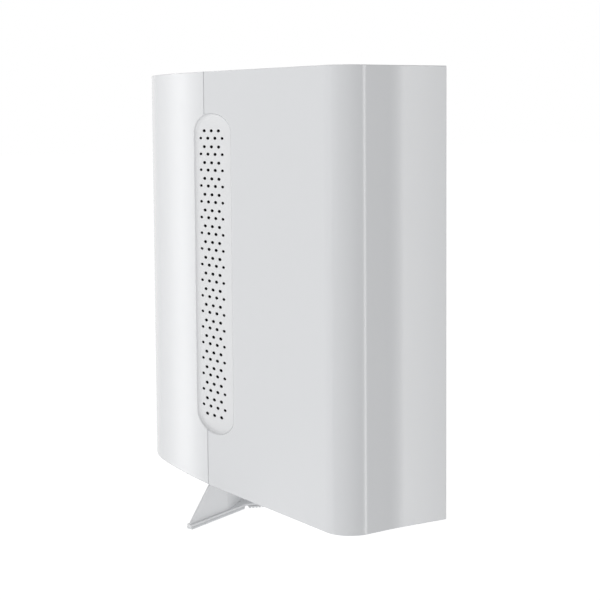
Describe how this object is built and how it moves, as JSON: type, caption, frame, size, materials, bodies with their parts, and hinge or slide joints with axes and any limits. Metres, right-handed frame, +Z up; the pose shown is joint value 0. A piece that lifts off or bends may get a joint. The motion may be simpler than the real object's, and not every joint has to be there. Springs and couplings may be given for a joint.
{
  "type": "wireless router",
  "caption": "Slim upright wireless router with a flat side panel, one rounded and one sharp front edge, a recessed pill-shaped vent, rear ports and a pull-off ridged stand.",
  "frame": {"origin": "centre of the overall box, on the surface that the ridged sole stands on", "axes": "+X from the flat vented side panel to the side cover, -Y towards the narrow front face, +Z up"},
  "size_m": [0.0842, 0.1924, 0.2186],
  "materials": {
    "shell_white": "satin moulded white plastic",
    "grille_white": "fine satin moulded white plastic",
    "stand_white": "satin moulded white plastic",
    "sole_grey": "matt pale grey rubber",
    "port_grey": "satin pale grey plastic",
    "button_grey": "satin pale grey plastic",
    "screen_black": "black woven dust screen",
    "socket_black": "black moulded plastic",
    "tinplate": "bright tinned steel",
    "chip_black": "black moulded epoxy",
    "board_green": "green solder mask",
    "antenna_green": "green solder mask",
    "lead_grey": "grey cable jacket",
    "heat_sink_aluminium": "plain extruded aluminium",
    "pad_blue": "soft blue gap filler",
    "capacitor_silver": "bright aluminium can",
    "guide_clear": "clear moulded acrylic",
    "light_white": "pale resin over a light chip",
    "screw_steel": "zinc plated steel"
  },
  "bodies": {
    "router": {"front_housing": "shell_white", "rear_housing": "shell_white", "side_cover": "shell_white", "vent_grille": "grille_white", "port_panel": "port_grey", "vent_screen": "screen_black", "lan_jack_1": "socket_black", "lan_jack_2": "socket_black", "lan_jack_3": "socket_black", "lan_jack_4": "socket_black", "wan_jack": "socket_black", "power_jack": "socket_black", "usb_port": "tinplate", "radio_shield_1": "tinplate", "radio_shield_2": "tinplate", "power_switch": "chip_black", "pairing_switch": "chip_black", "reset_switch": "chip_black", "processor": "chip_black", "memory_chip": "chip_black", "radio_chip_1": "chip_black", "radio_chip_2": "chip_black", "lan_transformer_1": "chip_black", "lan_transformer_2": "chip_black", "main_board": "board_green", "antenna_board_1": "antenna_green", "antenna_board_2": "antenna_green", "antenna_board_3": "antenna_green", "antenna_board_4": "antenna_green", "antenna_lead_1": "lead_grey", "antenna_lead_2": "lead_grey", "antenna_lead_3": "lead_grey", "antenna_lead_4": "lead_grey", "heat_sink": "heat_sink_aluminium", "thermal_pad": "pad_blue", "capacitor_1": "capacitor_silver", "capacitor_2": "capacitor_silver", "light_guide": "guide_clear", "status_light": "light_white", "heat_sink_screw_1": "screw_steel", "heat_sink_screw_2": "screw_steel", "board_screw_1": "screw_steel", "board_screw_2": "screw_steel", "board_screw_3": "screw_steel", "board_screw_4": "screw_steel", "seam_screw_1": "screw_steel", "seam_screw_2": "screw_steel", "seam_screw_3": "screw_steel", "seam_screw_4": "screw_steel", "seam_bracket_1": "screw_steel", "seam_bracket_2": "screw_steel"},
    "power_button": {"power_button": "button_grey"},
    "pairing_button": {"pairing_button": "button_grey"},
    "reset_button": {"reset_button": "button_grey"},
    "stand": {"stand_foot": "stand_white", "sole_pad_1": "sole_grey", "sole_pad_2": "sole_grey", "sole_pad_3": "sole_grey"}
  },
  "joints": [
    {"name": "stand_pull", "type": "slide", "parent": "router", "child": "stand", "axis": [0, 0, -1], "range_m": [0, 0.03]},
    {"name": "power_press", "type": "slide", "parent": "router", "child": "power_button", "axis": [0, -1, 0], "range_m": [0, 0.0008], "stiffness_N_per_m": 400},
    {"name": "pairing_press", "type": "slide", "parent": "router", "child": "pairing_button", "axis": [0, -1, 0], "range_m": [0, 0.0008], "stiffness_N_per_m": 400},
    {"name": "reset_press", "type": "slide", "parent": "router", "child": "reset_button", "axis": [0, -1, 0], "range_m": [0, 0.0008], "stiffness_N_per_m": 300}
  ]
}
